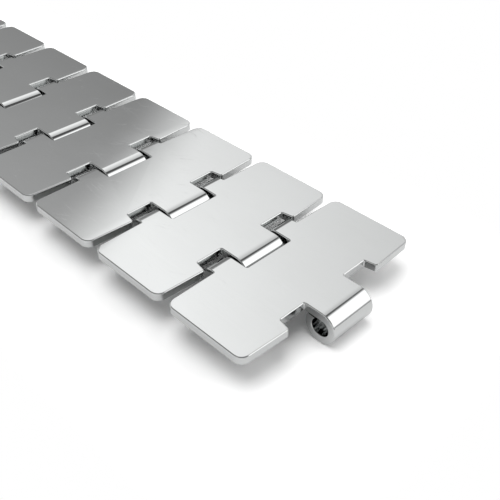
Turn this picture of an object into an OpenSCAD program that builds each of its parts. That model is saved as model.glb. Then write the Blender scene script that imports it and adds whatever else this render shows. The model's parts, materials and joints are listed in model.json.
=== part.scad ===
// Slat top chain: a strand of stainless steel hinge plates for a conveyor.
// Every plate is one flat blank. The tongue in the middle of its near end is rolled
// down into a centre eye, and the two tongues of its far end into outer eyes. The centre
// eye of each plate sits between the outer eyes of the plate ahead, and one pin holds all
// three. The strand folds about its pins, and each plate also swivels a little sideways
// on its pin, so that the chain can run round a bend lying flat.
// +X points to the near end of the strand, where the open centre eye is. +Y runs across
// it, and +Z is up, out of the carrying face. The eyes rest on the plane z = 0.

/* [Plate] */
// Distance from one pin to the next
pitch = 38.1; // [30:0.1:50]
// Width of the plate across the chain
plate_width = 82.5; // [60:0.5:120]
// Thickness of the sheet that a plate is made from
plate_t = 3.1; // [2:0.1:4]
// Radius of the four outer corners of a plate
corner_r = 3.5; // [1:0.1:8]
// Fillet radius in the inner corners of the notches
fillet_r = 0.5; // [0.3:0.1:1.5]
// Radius of the corner where a side notch meets the near edge
lip_r = 1.1; // [0.3:0.1:1.5]
// Setback of the near edge from the pin axis, beside the notch
near_root = 2.1; // [1.6:0.1:4]
// Further setback of the near edge at the outer corner
near_taper = 0.9; // [0.4:0.1:3]
// Setback of the far edge from the next pin axis, beside the tongue
far_root = 0.65; // [0.1:0.05:1]
// Further setback of the far edge at the outer corner
far_taper = 0.4; // [0.2:0.05:3]

/* [Eyes] */
// Width of the rolled centre eye
center_eye_w = 19.3; // [14:0.1:26]
// Width of each rolled outer eye
outer_eye_w = 9.5; // [6:0.1:12]
// Side gap between the centre eye and each outer eye
eye_gap = 0.95; // [0.8:0.05:2]
// Side gap between an outer eye and the notch that it sits in
notch_gap = 0.5; // [0.4:0.05:2]
// How much wider each side notch is at its mouth
notch_flare = 0.9; // [0.4:0.1:2]
// Gap between the outer eyes and the bottom of the side notches
near_clear = 0.7; // [0.6:0.05:3]
// Gap between the centre eye and the bottom of the centre notch
far_clear = 0.8; // [0.1:0.05:2]
// Gap between the end of the roll and the underside of the plate, on the outside
seam_gap = 0.3; // [0.2:0.05:0.6]
// The same gap where it opens into the bore
seam_mouth = 0.6; // [0.6:0.05:1]

/* [Pin] */
// Diameter of the hinge pin
pin_d = 6; // [5:0.05:8]
// Radial running clearance of the pin in the eyes
pin_clear = 0.075; // [0.03:0.005:0.1]
// Depth of each pin end below the outer face of its eye
pin_recess = 0.5; // [0.2:0.1:2]
// Chamfer on the pin ends
pin_chamfer = 0.5; // [0.2:0.1:1]
// Sideways swivel of a plate on its pin, each way, in degrees
side_flex = 2.4; // [1:0.1:3.8]
// Length of the close-fitting land in the middle of the centre eye
swivel_land = 2; // [1:0.1:2]
// Extra radius of the centre eye's bore beyond its land
swivel_relief = 0.18; // [0.16:0.01:0.3]

/* [Hidden] */
plate_names = [for (i = [1 : 11]) str("plate_", i < 10 ? "0" : "", i)];
pin_names = [for (i = [1 : len(plate_names) - 1]) str("pin_", i < 10 ? "0" : "", i)];

steel = [0.78, 0.79, 0.81];
pin_steel = [0.6, 0.61, 0.63];
round_fn = 96;
corner_steps = 6;

// Eye: bore, outer radius and height of its axis over the ground
bore_r = pin_d / 2 + pin_clear;
eye_r = bore_r + plate_t;
axis_z = eye_r;

// Half widths across the chain, from the centreline outwards
half_w = plate_width / 2;
center_out = center_eye_w / 2;
outer_in = center_out + eye_gap;
outer_out = outer_in + outer_eye_w;
notch_out = outer_out + notch_gap;

// Distances along the plate: notch bottoms from their own pin axis
near_neck = eye_r + near_clear;
far_neck = eye_r + far_clear;

// How far the pin leans at the mouth of the centre eye when the plate swivels
lean = center_out * tan(side_flex);
relief_r = bore_r + swivel_relief;
relief_shift = lean - swivel_relief;

strand_l = len(plate_names) * pitch;
function pin_x(i) = strand_l / 2 - i * pitch;

// One half of the flat blank, from the near tongue round to the centre notch.
// Each corner is [x, y, fillet radius], with the near pin axis at x = 0.
blank_half = [
    [0, center_out, 0],
    [-near_neck, center_out, fillet_r],
    [-near_neck, notch_out, fillet_r],
    [-near_root, notch_out + notch_flare, lip_r],
    [-near_root - near_taper, half_w, corner_r],
    [far_root + far_taper - pitch, half_w, corner_r],
    [far_root - pitch, outer_out, fillet_r / 2],
    [-pitch, outer_out, 0],
    [-pitch, outer_in, 0],
    [far_neck - pitch, outer_in, fillet_r]
];

function mirrored(half) = [for (i = [len(half) - 1 : -1 : 0]) [half[i].x, -half[i].y, half[i].z]];
function unit(v) = v / norm(v);

// Arc that rounds the corner b between its neighbours a and c
function corner_arc(a, b, c) =
    let (
        to_a = unit([a.x - b.x, a.y - b.y]),
        to_c = unit([c.x - b.x, c.y - b.y]),
        half_angle = acos(to_a * to_c) / 2,
        centre = [b.x, b.y] + unit(to_a + to_c) * b.z / sin(half_angle),
        from = [b.x, b.y] + to_a * b.z / tan(half_angle) - centre,
        to = [b.x, b.y] + to_c * b.z / tan(half_angle) - centre,
        start = atan2(from.y, from.x),
        sweep = (atan2(to.y, to.x) - start + 540) % 360 - 180
    )
    [for (i = [0 : corner_steps])
        let (a = start + sweep * i / corner_steps)
        centre + b.z * [cos(a), sin(a)]];

// Closed outline with every corner rounded by its own radius
function rounded(p) = [
    for (i = [0 : len(p) - 1])
        each p[i].z == 0
            ? [[p[i].x, p[i].y]]
            : corner_arc(p[(i + len(p) - 1) % len(p)], p[i], p[(i + 1) % len(p)])
];

// Section of a rolled eye whose sheet arrives from -X, level with the top of the roll.
// The roll goes down over the near side and ends just under the sheet, at the seam, where
// its end is cut at a slant to lie close along the underside of the sheet.
module eye_section() {
    mouth_z = bore_r - seam_mouth;
    end_z = bore_r - seam_gap;
    mouth_x = -sqrt(pow(bore_r, 2) - pow(mouth_z, 2));
    end_x = -sqrt(pow(eye_r, 2) - pow(end_z, 2));
    slant = (end_z - mouth_z) / (end_x - mouth_x);
    reach = 2 * eye_r;
    difference() {
        circle(r = eye_r, $fn = round_fn);
        circle(r = bore_r, $fn = round_fn);
        polygon([
            [0, mouth_z - slant * mouth_x],
            [0, reach],
            [-reach, reach],
            [-reach, mouth_z - slant * (reach + mouth_x)]
        ]);
    }
}

// Rolled eye centred on the plane y = mid_y
module rolled_eye(width, mid_y) {
    translate([0, mid_y + width / 2, axis_z])
        rotate([90, 0, 0])
            linear_extrude(width)
                eye_section();
}

// Centre eye. Beyond a short land in its middle the bore is opened out, most of all along
// the chain, so that the pin bears on the land alone and can lean to each side.
module center_eye() {
    difference() {
        rolled_eye(center_eye_w, 0);
        for (side = [-1, 1])
            for (shift = [-relief_shift, relief_shift])
                translate([shift, side * (swivel_land + center_eye_w) / 2, axis_z])
                    rotate([90, 0, 0])
                        cylinder(r = relief_r, h = center_eye_w, center = true, $fn = round_fn);
    }
}

// Hinge plate with its near pin axis at x = 0 and its far one at x = -pitch
module hinge_plate() {
    color(steel) {
        translate([0, 0, axis_z + bore_r])
            linear_extrude(plate_t)
                polygon(rounded(concat(blank_half, mirrored(blank_half))));
        center_eye();
        for (side = [-1, 1])
            translate([-pitch, 0, 0])
                mirror([1, 0, 0])
                    rolled_eye(outer_eye_w, side * (outer_in + outer_out) / 2);
    }
}

// Plain hinge pin with chamfered ends, on the axis at x = 0
module hinge_pin() {
    pin_r = pin_d / 2;
    pin_half = outer_out - pin_recess;
    color(pin_steel)
        translate([0, 0, axis_z])
            rotate([90, 0, 0])
                rotate_extrude($fn = round_fn)
                    polygon([
                        [0, -pin_half],
                        [pin_r - pin_chamfer, -pin_half],
                        [pin_r, pin_chamfer - pin_half],
                        [pin_r, pin_half - pin_chamfer],
                        [pin_r - pin_chamfer, pin_half],
                        [0, pin_half]
                    ]);
}

// Plates, from the near end
for (i = [0 : len(plate_names) - 1])
    translate([pin_x(i), 0, 0])
            hinge_plate();

// Pins: pin 1 joins plates 1 and 2, and so on
for (i = [0 : len(pin_names) - 1])
    translate([pin_x(i + 1), 0, 0])
            hinge_pin();
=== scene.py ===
import json
import math

import bmesh
import bpy
from mathutils import Matrix, Vector


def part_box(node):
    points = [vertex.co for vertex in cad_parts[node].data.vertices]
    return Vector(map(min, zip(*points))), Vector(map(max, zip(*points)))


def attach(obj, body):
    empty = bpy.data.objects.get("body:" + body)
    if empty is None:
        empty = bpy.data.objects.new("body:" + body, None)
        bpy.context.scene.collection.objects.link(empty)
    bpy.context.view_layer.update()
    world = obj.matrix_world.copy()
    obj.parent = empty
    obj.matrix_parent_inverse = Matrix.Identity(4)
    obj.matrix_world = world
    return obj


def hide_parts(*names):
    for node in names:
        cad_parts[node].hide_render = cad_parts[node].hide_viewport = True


# The strand: stainless steel hinge plates on pins, lying flat on its rolled eyes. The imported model
# gives every plate and pin its place, and the near end of the strand is towards +X.
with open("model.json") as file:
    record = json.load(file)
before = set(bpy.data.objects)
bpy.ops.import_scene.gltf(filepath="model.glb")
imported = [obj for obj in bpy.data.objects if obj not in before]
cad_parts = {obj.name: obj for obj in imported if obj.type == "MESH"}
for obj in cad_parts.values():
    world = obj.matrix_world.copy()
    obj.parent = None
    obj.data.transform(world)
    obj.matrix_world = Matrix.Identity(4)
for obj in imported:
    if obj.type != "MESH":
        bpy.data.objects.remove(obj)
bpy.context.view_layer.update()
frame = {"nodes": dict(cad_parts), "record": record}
plate_names = sorted(name for name in frame["nodes"] if name.startswith("plate_"))
pin_names = sorted(name for name in frame["nodes"] if name.startswith("pin_"))
body_of = {}
for body, nodes in frame["record"]["behaviour"]["bodies"].items():
    for node in nodes:
        body_of[node] = body


# ---------------------------------------------------------------------------------------------
# Camera. It looks over the open near end from one side, about 16 cm above the plates, so that the
# nearest joint is large and the far plates run out of the view.
top_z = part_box(plate_names[0])[1][2]
camera = bpy.data.objects.new("camera", bpy.data.cameras.new("camera"))
bpy.context.scene.collection.objects.link(camera)
camera.data.sensor_width = 36
camera.data.lens = 53.32
camera.data.clip_start = 0.01
camera.location = (0.31043, -0.14395, top_z + 0.15782)
camera.rotation_euler = [math.radians(turn) for turn in (51.332, -0.761, 45.139)]
bpy.context.scene.camera = camera


# ---------------------------------------------------------------------------------------------
# Hinge plates. Each is stamped from stainless sheet, its edges are tumbled round, and its tongues
# are rolled down into eyes: one in the middle of the near end, two at the far end. The flat blank
# is cut and rounded first, then a node tree rolls its tongues round the pins as the press does.
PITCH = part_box(plate_names[0])[1][0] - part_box(plate_names[1])[1][0]
EYE_R = top_z / 2
SHEET = 0.0031
BORE_R = EYE_R - SHEET
HALF_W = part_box(plate_names[0])[1][1]
NEAR_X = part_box(plate_names[0])[1][0] - EYE_R
# The centre eye's bore: a round land in its middle, widened beside it for the side flex
LAND = 0.002
SIDE_FLEX = math.radians(2.4)
# The blank's half widths across the chain: the tongues' sides and the notches' outer sides
CENTER_OUT = 0.00965
OUTER_IN = 0.0106
OUTER_OUT = 0.0201
NOTCH_OUT = 0.0206
NOTCH_FLARE = 0.0009
# Its setbacks along the chain from the two pin axes: bottoms of the notches, roots and corners
NEAR_NECK = EYE_R + 0.0007
FAR_NECK = EYE_R + 0.00035
NEAR_ROOT = 0.0021
NEAR_EDGE = 0.003
FAR_ROOT = 0.00065
FAR_EDGE = 0.00105
# Radii of its corners seen from above, and of the edges round its upper and lower face
PLATE_CORNER = 0.0035
ROOT_CORNER = 0.0011
NOTCH_CORNER = 0.0005
FAR_CORNER = 0.00025
UPPER_EDGE = 0.0005
LOWER_EDGE = 0.00025
EDGE_STEPS = 5
# Each tongue is rolled until its end stops under the sheet, and its end is cut on a slant
SEAM_GAP = 0.0003
SEAM_MOUTH = 0.0006
SLANT_FROM = 0.9
ROLL_STEPS = 56
roll_out = 1.5 * math.pi + math.asin((BORE_R - SEAM_GAP) / EYE_R)
roll_in = 1.5 * math.pi + math.asin((BORE_R - SEAM_MOUTH) / BORE_R)
roll_length = roll_out * (BORE_R + SHEET / 2)
# Arcs of a large radius are drawn with twice the steps, and points this close are one point
LARGE_RADIUS = 0.002
ARC_STEPS = 7
SAME_POINT = 1e-6
# A face is level when its normal's upright part is within TILT of 1, and a wall when it is within
# TILT of 0. An edge is sharp when its faces meet at more than SHARP.
TILT = 0.05
SHARP = math.radians(35)
# The polished strip where it is clouded and where it is clean, and how deep marks in steel look
CLOUDED_STRIP = (0.548, 0.556, 0.553)
CLEAN_STRIP = (0.584, 0.594, 0.593)
MARK_DEPTH = 0.0001


def corner_arc(before, corner, after, radius, steps):
    """Points of the arc that rounds one corner of an outline."""
    to_before = (before - corner).normalized()
    to_after = (after - corner).normalized()
    half = to_before.angle(to_after) / 2
    center = corner + (to_before + to_after).normalized() * radius / math.sin(half)
    start = corner + to_before * radius / math.tan(half) - center
    end = corner + to_after * radius / math.tan(half) - center
    sweep = start.angle_signed(end)
    points = []
    for i in range(steps + 1):
        turned = Matrix.Rotation(-sweep * i / steps, 2) @ start
        points.append(center + turned)
    return points


def rounded_outline(corners, steps):
    """Points of an outline whose corners are given as x, y and a radius, or 0 for a sharp one."""
    points = []
    for i, (x, y, radius) in enumerate(corners):
        corner = Vector((x, y))
        if radius:
            before = Vector(corners[i - 1][:2])
            after = Vector(corners[(i + 1) % len(corners)][:2])
            fine = 2 * steps if radius > LARGE_RADIUS else steps
            points += corner_arc(before, corner, after, radius, fine)
        else:
            points.append(corner)
    return points


def stamp():
    """The blank as it leaves the die, its underside at z = 0, and its upper and lower face."""
    side = [
        (roll_length, CENTER_OUT, 0),
        (-NEAR_NECK, CENTER_OUT, NOTCH_CORNER),
        (-NEAR_NECK, NOTCH_OUT, NOTCH_CORNER),
        (-NEAR_ROOT, NOTCH_OUT + NOTCH_FLARE, ROOT_CORNER),
        (-NEAR_EDGE, HALF_W, PLATE_CORNER),
        (FAR_EDGE - PITCH, HALF_W, PLATE_CORNER),
        (FAR_ROOT - PITCH, OUTER_OUT, FAR_CORNER),
        (-PITCH - roll_length, OUTER_OUT, 0),
        (-PITCH - roll_length, OUTER_IN, 0),
        (FAR_NECK - PITCH, OUTER_IN, NOTCH_CORNER),
    ]
    rim = rounded_outline(side + [(x, -y, r) for x, y, r in reversed(side)], ARC_STEPS)
    sheet = bmesh.new()
    low = [sheet.verts.new((p.x, p.y, 0)) for p in rim]
    high = [sheet.verts.new((p.x, p.y, SHEET)) for p in rim]
    for i in range(len(rim)):
        j = (i + 1) % len(rim)
        sheet.faces.new((low[i], low[j], high[j], high[i]))
    upper = sheet.faces.new(high)
    lower = sheet.faces.new(list(reversed(low)))
    bmesh.ops.recalc_face_normals(sheet, faces=sheet.faces)
    return sheet, upper, lower


def past_pin(point):
    """How far a point of the flat blank lies past the pin axis that it is nearest to."""
    return max(point.x, -PITCH - point.x)


def tumble(sheet, face, radius):
    """Rounds the edges of one face over, all but those at the ends of the tongues."""
    edges = [edge for edge in face.edges
             if min(past_pin(v.co) for v in edge.verts) < roll_length - SAME_POINT]
    bmesh.ops.bevel(sheet, geom=edges, offset=radius, segments=EDGE_STEPS, profile=0.5,
                    affect="EDGES")


def slice_tongues(sheet):
    """Cuts the tongues across, finely enough to be rolled, and slants their ends."""
    big = [face for face in sheet.faces if len(face.verts) > 4]
    bmesh.ops.triangulate(sheet, faces=big)
    for i in range(ROLL_STEPS + 1):
        reach = roll_length * i / ROLL_STEPS
        for x in (reach, -PITCH - reach):
            every = list(sheet.verts) + list(sheet.edges) + list(sheet.faces)
            bmesh.ops.bisect_plane(sheet, geom=every, plane_co=(x, 0, 0), plane_no=(1, 0, 0))
    bmesh.ops.remove_doubles(sheet, verts=sheet.verts, dist=SAME_POINT)
    slant = (roll_in - roll_out) * (BORE_R + SHEET / 2)
    for vertex in sheet.verts:
        past = past_pin(vertex.co) / roll_length
        if past > SLANT_FROM:
            longer = slant * (1 - vertex.co.z / SHEET) * (past - SLANT_FROM) / (1 - SLANT_FROM)
            vertex.co.x += math.copysign(longer, vertex.co.x + PITCH / 2)


def mark_sheet(sheet):
    """Marks where the sheet is tumbled round and where it is sheared, and which edges are sharp."""
    worn = sheet.verts.layers.float.new("worn")
    for vertex in sheet.verts:
        rounded = all(TILT < abs(face.normal.z) < 1 - TILT for face in vertex.link_faces)
        vertex[worn] = 1.0 if rounded else 0.0
    sheared = sheet.faces.layers.float.new("sheared")
    for face in sheet.faces:
        face[sheared] = 1.0 if abs(face.normal.z) < TILT else 0.0
        face.smooth = True
    for edge in sheet.edges:
        edge.smooth = edge.calc_face_angle() < SHARP


def mesh_of(name, shape):
    """A mesh made of a finished bmesh, which is freed."""
    mesh = bpy.data.meshes.new(name)
    shape.to_mesh(mesh)
    shape.free()
    return mesh


def flat_blank():
    """The blank before it is rolled: stamped, tumbled round and cut across for the roll."""
    sheet, upper, lower = stamp()
    tumble(sheet, upper, UPPER_EDGE)
    tumble(sheet, lower, LOWER_EDGE)
    slice_tongues(sheet)
    mark_sheet(sheet)
    return mesh_of("flat_blank", sheet)


class Value:
    """One socket of a node tree. Operators on it add the Math nodes that they name."""

    def __init__(self, tree, socket):
        self.tree = tree
        self.socket = socket

    def math(self, operation, other=None):
        given = [self] if other is None else [self, other]
        setting = {"operation": operation}
        return add_node(self.tree, "ShaderNodeMath", *given, settings=setting).out()

    def __add__(self, other):
        return self.math("ADD", other)

    __radd__ = __add__

    def __mul__(self, other):
        return self.math("MULTIPLY", other)

    __rmul__ = __mul__

    def __sub__(self, other):
        return self.math("SUBTRACT", other)

    def __rsub__(self, other):
        return (self * -1) + other

    def __truediv__(self, other):
        return self.math("DIVIDE", other)

    def __neg__(self):
        return self * -1

    def smooth(self, low, high):
        """0 below low and 1 above high, with a soft step between them."""
        return add_node(self.tree, "ShaderNodeMapRange", Value=self, From_Min=low, From_Max=high,
                        settings={"interpolation_type": "SMOOTHSTEP"}).out("Result")

    def fade(self, low, high):
        """1 below low and 0 above high, with a soft step between them."""
        return 1 - self.smooth(low, high)

    def clamp(self, low, high):
        return self.math("MAXIMUM", low).math("MINIMUM", high)


class Made:
    """A node that add_node made, and the way to its outputs."""

    def __init__(self, tree, node):
        self.tree = tree
        self.node = node

    def out(self, name=0):
        return Value(self.tree, self.node.outputs[name])


def add_node(tree, kind, *ordered, settings=None, **named):
    """Adds a node, sets it up, and then sets or links its inputs, by order or by name."""
    node = tree.nodes.new(kind)
    for key, setting in (settings or {}).items():
        setattr(node, key, setting)
    inputs = list(enumerate(ordered))
    inputs += [(name.replace("_", " "), given) for name, given in named.items()]
    for key, given in inputs:
        if isinstance(given, Value):
            tree.links.new(given.socket, node.inputs[key])
        else:
            node.inputs[key].default_value = given
    return Made(tree, node)


def parts(tree, vector):
    """The three parts of a vector."""
    split = add_node(tree, "ShaderNodeSeparateXYZ", vector)
    return split.out("X"), split.out("Y"), split.out("Z")


def vector_math(tree, operation, *given):
    """What a Vector Math node makes of the vectors given: a length, or else a vector."""
    node = add_node(tree, "ShaderNodeVectorMath", *given, settings={"operation": operation})
    return node.out("Value" if operation == "LENGTH" else "Vector")


def new_group(name, sizes):
    """A node group that takes a mesh, the sizes named and a material, and gives a mesh."""
    tree = bpy.data.node_groups.new(name, "GeometryNodeTree")
    kinds = {"Geometry": "Geometry", **dict.fromkeys(sizes, "Float"), "Material": "Material"}
    for label, kind in kinds.items():
        tree.interface.new_socket(label, in_out="INPUT", socket_type="NodeSocket" + kind)
    tree.interface.new_socket("Geometry", in_out="OUTPUT", socket_type="NodeSocketGeometry")
    return tree, add_node(tree, "NodeGroupInput")


def close_group(tree, given, moved):
    """Gives the group's material to what it has moved, and hands that out."""
    real = add_node(tree, "GeometryNodeRealizeInstances", moved.out())
    done = add_node(tree, "GeometryNodeSetMaterial", real.out(), Material=given.out("Material"))
    add_node(tree, "NodeGroupOutput", done.out())


def rolling_tree():
    """A node group that rolls the tongues of a flat blank into eyes and puts it at its pin."""
    sizes = ("Pitch", "Sheet", "Bore Radius", "Lean", "Land", "Pin Place")
    tree, given = new_group("rolled_plate", sizes)
    pitch, sheet, bore = given.out("Pitch"), given.out("Sheet"), given.out("Bore Radius")
    x, y, z = parts(tree, add_node(tree, "GeometryNodeInputPosition").out())
    # Near and far say how far round its pin each tongue is rolled, measured in mid-sheet
    middle = bore + sheet * 0.5
    near = x.math("MAXIMUM", 0) / middle
    far = (-x - pitch).math("MAXIMUM", 0) / middle
    flat_x = x.math("MINIMUM", 0).math("MAXIMUM", -pitch)
    reach = bore + z
    rolled_x = flat_x + reach * (near.math("SINE") - far.math("SINE"))
    rolled_z = bore + sheet + reach * (near + far).math("COSINE")
    # Beside its land, the bore is widened to both sides of the pin and not above or below it
    past_land = (y.math("ABSOLUTE") - given.out("Land") * 0.5).math("MAXIMUM", 0)
    inside = (1 - z / sheet).clamp(0, 1)
    widened = past_land * given.out("Lean") * inside * (near.math("SINE") * 3).clamp(-1, 1)
    new_x = rolled_x + widened + given.out("Pin Place")
    place = add_node(tree, "ShaderNodeCombineXYZ", new_x, y, rolled_z)
    moved = add_node(tree, "GeometryNodeSetPosition", given.out("Geometry"), Position=place.out())
    close_group(tree, given, moved)
    return tree


def shaped(name, mesh, tree, inputs):
    """An object whose mesh a node group shapes, with the group's inputs set."""
    piece = bpy.data.objects.new(name, mesh)
    bpy.context.scene.collection.objects.link(piece)
    shaping = piece.modifiers.new(tree.name, "NODES")
    shaping.node_group = tree
    for item in tree.interface.items_tree:
        if item.name in inputs:
            shaping[item.identifier] = inputs[item.name]
    return piece


def freeze(piece):
    """Gives a piece the mesh that its modifiers make of it, and takes them off."""
    seen = piece.evaluated_get(bpy.context.evaluated_depsgraph_get())
    piece.data = bpy.data.meshes.new_from_object(seen)
    piece.modifiers.clear()


def new_material(name):
    """A new material and its node tree."""
    material = bpy.data.materials.new(name)
    material.use_nodes = True
    return material, material.node_tree


def stretched_noise(tree, place, scale, detail):
    """Smooth noise whose marks are 1/scale metres long on each axis."""
    sized = vector_math(tree, "MULTIPLY", place, scale)
    return add_node(tree, "ShaderNodeTexNoise", Vector=sized, Scale=1, Detail=detail).out()


def hairlines(tree, place, turn, spread):
    """Sparse fine scratches that run nearly one way, turned about the upright axis."""
    turned = add_node(tree, "ShaderNodeVectorRotate", Vector=place, Angle=math.radians(turn),
                      settings={"rotation_type": "Z_AXIS"}).out()
    line = stretched_noise(tree, turned, (spread, 420, 60), 0.0)
    patch = stretched_noise(tree, turned, (90, 210, 90), 1.0)
    return (line - 0.5).math("ABSOLUTE").fade(0.002, 0.009) * patch.smooth(0.56, 0.66)


def attribute(tree, name):
    """A number that the mesh carries."""
    return add_node(tree, "ShaderNodeAttribute", settings={"attribute_name": name}).out("Fac")


def laid(under, over, mask):
    """One value laid over another where the mask is 1."""
    return under + (over - under) * mask


def mixed(tree, low, high, amount):
    """A colour between two others."""
    return add_node(tree, "ShaderNodeMix", A=(*low, 1), B=(*high, 1), Factor=amount,
                    settings={"data_type": "RGBA"}).out("Result")


def paint_metal(tree, color, gloss, relief, strength):
    """Makes a material a metal with this colour and roughness and these marks in its face."""
    marks = add_node(tree, "ShaderNodeBump", Strength=strength, Distance=MARK_DEPTH, Height=relief)
    shader = tree.nodes["Principled BSDF"]
    shader.inputs["Metallic"].default_value = 1
    tree.links.new(color.socket, shader.inputs["Base Color"])
    tree.links.new(gloss.socket, shader.inputs["Roughness"])
    tree.links.new(marks.out("Normal").socket, shader.inputs["Normal"])


# Polished strip: a bright face with faint rolled lines along the chain, clouds from handling and
# a few hairlines from carried goods. Rounded rims are tumbled, sheared walls have upright marks.
steel, tree = new_material("polished_stainless")
place = add_node(tree, "ShaderNodeTexCoord").out("Object")
rolled = stretched_noise(tree, place, (30, 2600, 30), 3.0)
cloud = stretched_noise(tree, place, (38, 62, 38), 3.0)
hair = hairlines(tree, place, 7, 22).math("MAXIMUM", hairlines(tree, place, -34, 30))
shear_line = stretched_noise(tree, place, (3000, 3000, 90), 2.0)
rim = attribute(tree, "worn")
wall = attribute(tree, "sheared")
open_face = (1 - rim.clamp(0, 1)) * (1 - wall.clamp(0, 1))
shade = 0.5 + (rolled - 0.5) * 0.5 * open_face + (cloud - 0.5) * 0.9 + (shear_line - 0.5) * wall
color = mixed(tree, CLOUDED_STRIP, CLEAN_STRIP, shade.clamp(0, 1))
gloss = 0.045 + rolled * 0.02 + cloud.smooth(0.45, 0.75) * 0.03 + hair * 0.16 * open_face
gloss = gloss + rim * 0.04 + wall * (0.05 + shear_line * 0.12)
relief = (rolled * 0.25 - hair * 0.6) * open_face + shear_line * wall
paint_metal(tree, color, gloss.clamp(0.03, 0.4), relief, 0.05)

roll_tree = rolling_tree()
blank = flat_blank()
for i, name in enumerate(plate_names):
    plate = shaped("rolled_" + name, blank, roll_tree, {
        "Pitch": PITCH,
        "Sheet": SHEET,
        "Bore Radius": BORE_R,
        "Lean": math.tan(SIDE_FLEX),
        "Land": LAND,
        "Pin Place": NEAR_X - i * PITCH,
        "Material": steel,
    })
    weigh = plate.modifiers.new("weigh", "WEIGHTED_NORMAL")
    weigh.weight = 80
    weigh.keep_sharp = True
    freeze(plate)
    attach(plate, body_of[name])
    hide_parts(name)


# ---------------------------------------------------------------------------------------------
# Hinge pins. Ground stainless rod, faced and chamfered to length, one through each centre eye and
# the two eyes beside it. Its ends lie a little below the outer faces of those eyes.
PIN_R = 0.003
PIN_HALF = (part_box(pin_names[0])[1][1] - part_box(pin_names[0])[0][1]) / 2
# The chamfer at each end, and the radius to which its two corners are broken
PIN_CHAMFER = 0.0005
PIN_BREAK = 0.0003
PIN_ARC_STEPS = 4
PIN_TURN_STEPS = 64
# How far apart the turning tool leaves its rings on the faced ends, and the rod's two shades
RING_PITCH = 0.00022
DULL_ROD = (0.455, 0.462, 0.468)
BRIGHT_ROD = (0.545, 0.551, 0.556)


def turned_pin():
    """One pin along the Y axis, turned from its outline, its chamfers' corners broken."""
    profile = rounded_outline([
        (0, PIN_HALF, 0),
        (PIN_R - PIN_CHAMFER, PIN_HALF, PIN_BREAK),
        (PIN_R, PIN_HALF - PIN_CHAMFER, PIN_BREAK),
        (PIN_R, PIN_CHAMFER - PIN_HALF, PIN_BREAK),
        (PIN_R - PIN_CHAMFER, -PIN_HALF, PIN_BREAK),
        (0, -PIN_HALF, 0),
    ], PIN_ARC_STEPS)
    rod = bmesh.new()
    points = [rod.verts.new((p.x, p.y, 0)) for p in profile]
    lines = [rod.edges.new(pair) for pair in zip(points, points[1:])]
    bmesh.ops.spin(rod, geom=points + lines, cent=(0, 0, 0), axis=(0, 1, 0), steps=PIN_TURN_STEPS,
                   angle=math.tau, use_merge=True)
    bmesh.ops.remove_doubles(rod, verts=rod.verts, dist=SAME_POINT)
    bmesh.ops.recalc_face_normals(rod, faces=rod.faces)
    from_axis = rod.verts.layers.float.new("from_axis")
    for vertex in rod.verts:
        vertex[from_axis] = math.hypot(vertex.co.x, vertex.co.z)
    faced = rod.faces.layers.float.new("faced")
    for face in rod.faces:
        face[faced] = 1.0 if abs(face.normal.y) > 1 - TILT else 0.0
        face.smooth = True
    return mesh_of("turned_pin", rod)


def pin_tree():
    """A node group that sets the turned pin into its eyes."""
    tree, given = new_group("set_pin", ("Pin Place", "Height"))
    place = add_node(tree, "ShaderNodeCombineXYZ", X=given.out("Pin Place"), Z=given.out("Height"))
    moved = add_node(tree, "GeometryNodeSetPosition", given.out("Geometry"), Offset=place.out())
    close_group(tree, given, moved)
    return tree


# Ground rod: fine grinding marks run round the barrel, and the faced ends keep the tool's rings.
pin_steel, tree = new_material("ground_pin_steel")
place = add_node(tree, "ShaderNodeTexCoord").out("Object")
ground = stretched_noise(tree, place, (160, 5200, 160), 3.0)
cloud = stretched_noise(tree, place, (260, 130, 260), 3.0)
faced = attribute(tree, "faced").clamp(0, 1)
ring = (attribute(tree, "from_axis") * (math.tau / RING_PITCH)).math("SINE") * 0.5 + 0.5
mark = laid(ground, ring, faced)
shade = 0.5 + (mark - 0.5) * 0.7 + (cloud - 0.5) * 0.8
color = mixed(tree, DULL_ROD, BRIGHT_ROD, shade.clamp(0, 1))
gloss = 0.16 + mark * 0.1 + cloud.smooth(0.45, 0.75) * 0.06 + faced * 0.06
paint_metal(tree, color, gloss.clamp(0.1, 0.45), mark, 0.12)

set_tree = pin_tree()
turned = turned_pin()
for name in pin_names:
    low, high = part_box(name)
    pin = shaped("turned_" + name, turned, set_tree, {
        "Pin Place": (low[0] + high[0]) / 2,
        "Height": EYE_R,
        "Material": pin_steel,
    })
    freeze(pin)
    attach(pin, body_of[name])
    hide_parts(name)


# ---------------------------------------------------------------------------------------------
# Floor. It is plain and white, far wider than the strand, and takes the strand's shadow. A few
# centimetres from the strand it fades into the white backdrop. From below it is clear, so that the
# strand's underside shows, and so does a strand that folds down past the floor.
FLOOR_HALF = 6
FADE_FROM = 0.02
FADE_TO = 0.045
# Its colour for the light it scatters and for the camera, and how far reflections are between
FLOOR_LIT = (0.75, 0.75, 0.75)
FLOOR_SEEN = (1.15, 1.15, 1.15)
MIRRORED_SHARE = 0.45
floor_mesh = bpy.data.meshes.new("floor")
corners = [(x * FLOOR_HALF, y * FLOOR_HALF, 0) for x, y in ((-1, -1), (1, -1), (1, 1), (-1, 1))]
floor_mesh.from_pydata(corners, [], [(0, 1, 2, 3)])
floor = bpy.data.objects.new("floor", floor_mesh)
bpy.context.scene.collection.objects.link(floor)
white, tree = new_material("white_floor")
tree.nodes.remove(tree.nodes["Principled BSDF"])
rays = add_node(tree, "ShaderNodeLightPath")
mirrored = rays.out("Is Glossy Ray").math("MAXIMUM", rays.out("Is Transmission Ray"))
seen_white = rays.out("Is Camera Ray").math("MAXIMUM", mirrored * MIRRORED_SHARE)
matt = add_node(tree, "ShaderNodeBsdfDiffuse", mixed(tree, FLOOR_LIT, FLOOR_SEEN, seen_white))
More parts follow.
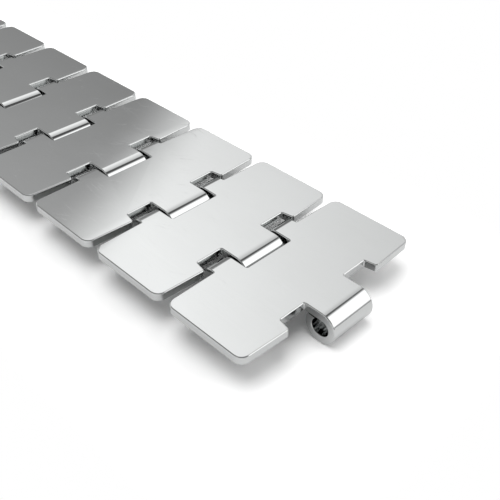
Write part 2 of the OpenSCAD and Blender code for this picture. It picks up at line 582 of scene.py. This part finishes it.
# How far a point lies outside the rectangle that the strand covers
place = add_node(tree, "ShaderNodeTexCoord").out("Object")
outside = vector_math(tree, "ABSOLUTE", place)
outside = vector_math(tree, "SUBTRACT", outside, (NEAR_X + EYE_R, HALF_W, 0))
outside = vector_math(tree, "MAXIMUM", outside, (0, 0, 0))
away = vector_math(tree, "LENGTH", outside)
below = add_node(tree, "ShaderNodeNewGeometry").out("Backfacing")
gone = away.smooth(FADE_FROM, FADE_TO).math("MAXIMUM", below) * rays.out("Is Camera Ray")
clear = add_node(tree, "ShaderNodeBsdfTransparent")
faded = add_node(tree, "ShaderNodeMixShader", gone, matt.out(), clear.out())
tree.links.new(faded.out().socket, tree.nodes["Material Output"].inputs["Surface"])
floor_mesh.materials.append(white)


# ---------------------------------------------------------------------------------------------
# Light. A studio of soft boxes with darker gaps between, which the steel mirrors as bright and
# dark bands. The camera sees a white backdrop in its place, and a lamp in the ceiling that the
# steel doesn't mirror keeps the floor white.
world = bpy.data.worlds.new("studio")
bpy.context.scene.world = world
world.use_nodes = True
tree = world.node_tree
rays = add_node(tree, "ShaderNodeLightPath")
mirrored = rays.out("Is Glossy Ray")
dx, dy, dz = parts(tree, add_node(tree, "ShaderNodeTexCoord").out("Generated"))
wide, deep = dx.math("ABSOLUTE"), dy.math("ABSOLUTE")
risen = dz.smooth(0.05, 0.2)

# The studio is drawn by direction: dx, dy and dz say where its boxes start and end, and a level
# of 1 is plain white. The ceiling is darker towards its middle, and there are boxes for the sides
# of the strand that are turned away from the camera.
ceiling = 0.5 - 0.42 * dz.clamp(0, 1)
ends = wide.smooth(0.66, 0.78) * deep.fade(0.22, 0.4)
rear = (-dy).smooth(0.66, 0.78) * dz.fade(0.62, 0.75)
rear_right = dx.smooth(0.3, 0.45) * (-dy).smooth(0.3, 0.45)
others = ends.math("MAXIMUM", rear_right) * dz.fade(0.5, 0.62)
others = others.math("MAXIMUM", rear) * risen * mirrored
tone = (0.85 + dx * dy).clamp(0.55, 1.2)
level = laid(ceiling, tone, others)

# In front and to the left, a wall that is brighter higher up, and beside it a bright box
wall = (0.46 - 0.57 * (dy - 0.4) + 0.655 * (dz - 0.45)).clamp(0.2, 0.7)
box_x, box_z = dx + 0.5, dz - 0.6
box = 1.189 - 1.655 * box_x + 1.627 * box_z + 1.9 * box_x * box_x - 3.742 * box_x * box_z
across = (dx - 0.06 * (dy - 0.45)).smooth(-0.73, -0.654)
left_side = laid(wall, box.clamp(0.4, 1.5), across)
level = laid(level, left_side, dy.smooth(0.05, 0.3) * risen * dx.fade(-0.09, -0.03))

# In front and to the right, the brightest box, its edge slanted, dimmer low down in reflections
right_edge = dx + 0.9 * (dy - 0.61)
right_box = 1.9 - 1.1 * dy.smooth(0.65, 0.71) * mirrored
level = laid(level, right_box, dy.smooth(0.25, 0.45) * risen * right_edge.smooth(0.02, 0.24))

# Behind the camera a low box, and right overhead a patch that is brighter to the far end
behind = (-dy).smooth(0.4, 0.7) * dz.smooth(0.05, 0.15) * dz.fade(0.35, 0.5)
level = laid(level, 0.9, behind)
above = wide.fade(0.28, 0.4) * deep.fade(0.12, 0.3) * dz.smooth(0.8, 0.9)
level = laid(level, 0.6 - 0.9 * dx, above)

# To the camera, plain white all round
backdrop = rays.out("Is Camera Ray")
level = level.math("MAXIMUM", 0) * (1 - backdrop) + backdrop
sky = tree.nodes["Background"]
tree.links.new(level.socket, sky.inputs["Strength"])
sky.inputs["Color"].default_value = (1, 1, 1, 1)

lamp = bpy.data.objects.new("ceiling_panel", bpy.data.lights.new("ceiling_panel", "AREA"))
bpy.context.scene.collection.objects.link(lamp)
lamp.location = (-0.2, -0.25, 1.5)
lamp.data.shape = "DISK"
lamp.data.size = 1.5
lamp.data.energy = 15.5
lamp.visible_glossy = False

bpy.context.scene.view_settings.view_transform = "Standard"

bpy.context.view_layer.update()
